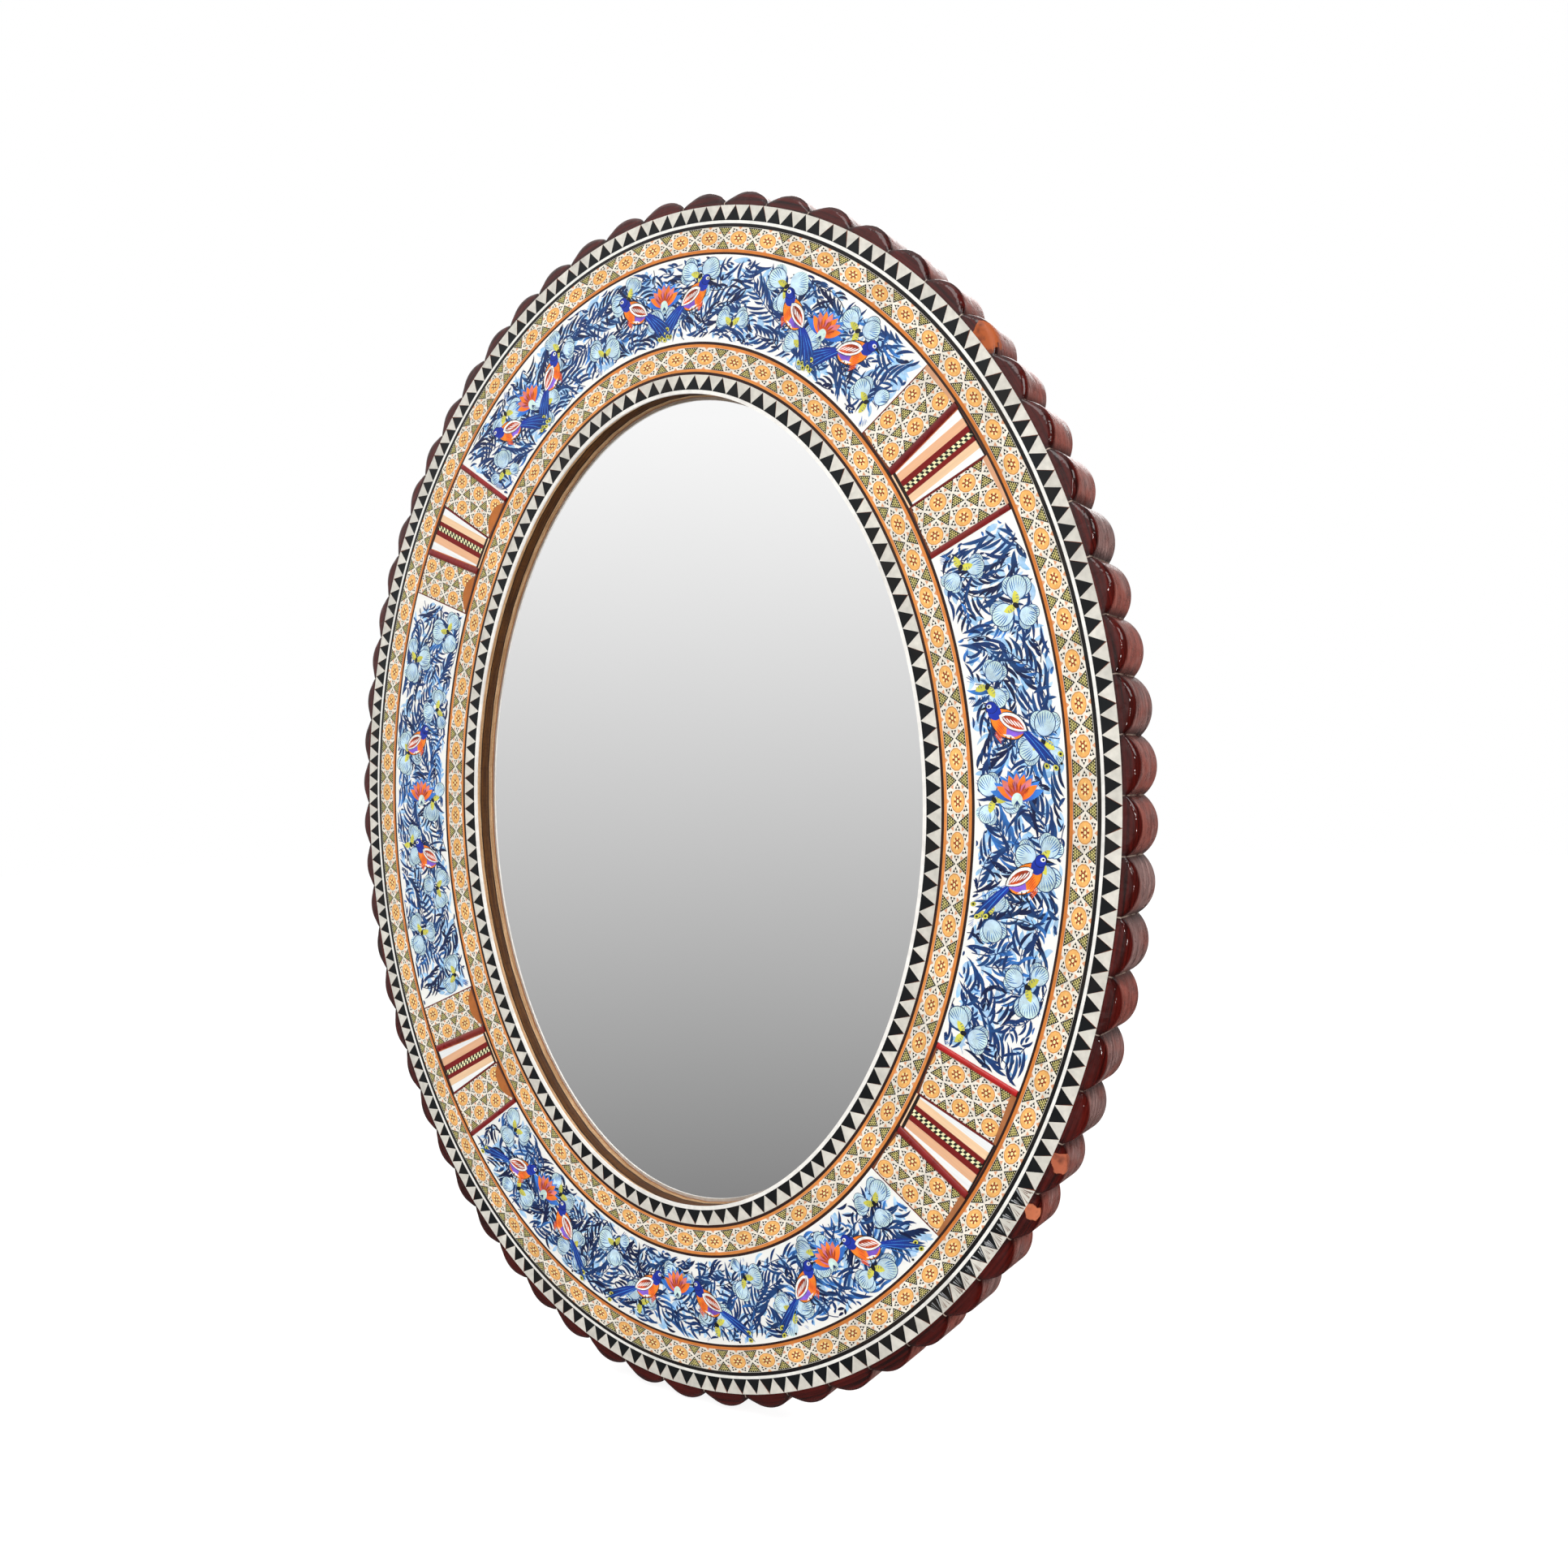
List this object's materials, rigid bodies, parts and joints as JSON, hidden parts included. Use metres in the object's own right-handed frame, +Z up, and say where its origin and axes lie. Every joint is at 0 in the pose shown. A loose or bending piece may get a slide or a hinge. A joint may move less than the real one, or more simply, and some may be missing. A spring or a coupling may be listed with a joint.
{
  "type": "inlaid wooden wall mirror",
  "caption": "Oval wall mirror in a scalloped wooden frame with star and triangle inlay, painted panels, beaded dividers, a layered back, turn buttons and a ring hanger.",
  "frame": {"origin": "middle of the backing board's back face, which lies flat on the wall", "axes": "+Y into the wall, -Y towards the viewer, +Z up, +X to the viewer's right"},
  "size_m": [0.3926, 0.0252, 0.4978],
  "materials": {
    "varnished_rim": "gloss varnish",
    "ebony": "polished",
    "bone": "polished bone",
    "star_inlay": "polished wood and bone mosaic",
    "triangle_inlay": "polished ebony and bone",
    "orange_wood": "polished",
    "dark_wood": "polished",
    "red_bead": "gloss lacquer",
    "fan_wood": "polished",
    "painted_ivory": "polished bone, painted and varnished",
    "raw_wood": "raw",
    "brown_wood": "painted",
    "board_wood": "raw",
    "packing_card": "raw",
    "silvered_glass": "polished",
    "plated_steel": "plated"
  },
  "bodies": {
    "frame": {"rim_segment_1": "varnished_rim", "rim_segment_2": "varnished_rim", "rim_segment_3": "varnished_rim", "rim_segment_4": "varnished_rim", "rim_segment_5": "varnished_rim", "rim_segment_6": "varnished_rim", "ground_board": "raw_wood", "lip_board": "brown_wood", "back_board": "raw_wood", "outer_triangle_band": "triangle_inlay", "white_line": "bone", "outer_black_line": "ebony", "outer_star_band": "star_inlay", "outer_orange_line": "orange_wood", "outer_dark_line": "dark_wood", "middle_dark_line": "dark_wood", "middle_orange_line": "orange_wood", "inner_star_band": "star_inlay", "inner_orange_line": "orange_wood", "inner_dark_line": "dark_wood", "inner_triangle_band": "triangle_inlay", "bone_edge": "bone", "painted_panel_top": "painted_ivory", "painted_panel_left": "painted_ivory", "painted_panel_bottom": "painted_ivory", "painted_panel_right": "painted_ivory", "upper_right_bead_a": "red_bead", "upper_right_star_block_a": "star_inlay", "upper_right_fan": "fan_wood", "upper_right_bead_b": "red_bead", "upper_right_star_block_b": "star_inlay", "upper_left_bead_a": "red_bead", "upper_left_star_block_a": "star_inlay", "upper_left_fan": "fan_wood", "upper_left_bead_b": "red_bead", "upper_left_star_block_b": "star_inlay", "lower_left_bead_a": "red_bead", "lower_left_star_block_a": "star_inlay", "lower_left_fan": "fan_wood", "lower_left_bead_b": "red_bead", "lower_left_star_block_b": "star_inlay", "lower_right_bead_a": "red_bead", "lower_right_star_block_a": "star_inlay", "lower_right_fan": "fan_wood", "lower_right_bead_b": "red_bead", "lower_right_star_block_b": "star_inlay", "mirror_glass": "silvered_glass", "packing_sheet": "packing_card", "backing_board": "board_wood", "button_screw_1": "plated_steel", "button_screw_2": "plated_steel", "button_screw_3": "plated_steel", "button_screw_4": "plated_steel", "hanger_strap": "plated_steel", "hanger_screw": "plated_steel"},
    "hanger_ring_body": {"hanger_ring": "plated_steel"},
    "turn_button_body_1": {"turn_button_1": "plated_steel"},
    "turn_button_body_2": {"turn_button_2": "plated_steel"},
    "turn_button_body_3": {"turn_button_3": "plated_steel"},
    "turn_button_body_4": {"turn_button_4": "plated_steel"}
  },
  "joints": [
    {"name": "hanger_ring_swing", "type": "hinge", "parent": "frame", "child": "hanger_ring_body", "pos_m": [0, 0.0022, 0.20885], "axis": [-1, 0, 0], "range_deg": [0, 160]},
    {"name": "turn_button_1_turn", "type": "hinge", "parent": "frame", "child": "turn_button_body_1", "pos_m": [0.0915, 0.0009, 0.12499], "axis": [0, 1, 0], "range_deg": [0, 90]},
    {"name": "turn_button_2_turn", "type": "hinge", "parent": "frame", "child": "turn_button_body_2", "pos_m": [-0.0915, 0.0009, 0.12499], "axis": [0, 1, 0], "range_deg": [0, 90]},
    {"name": "turn_button_3_turn", "type": "hinge", "parent": "frame", "child": "turn_button_body_3", "pos_m": [-0.0915, 0.0009, -0.12499], "axis": [0, 1, 0], "range_deg": [0, 90]},
    {"name": "turn_button_4_turn", "type": "hinge", "parent": "frame", "child": "turn_button_body_4", "pos_m": [0.0915, 0.0009, -0.12499], "axis": [0, 1, 0], "range_deg": [0, 90]}
  ]
}
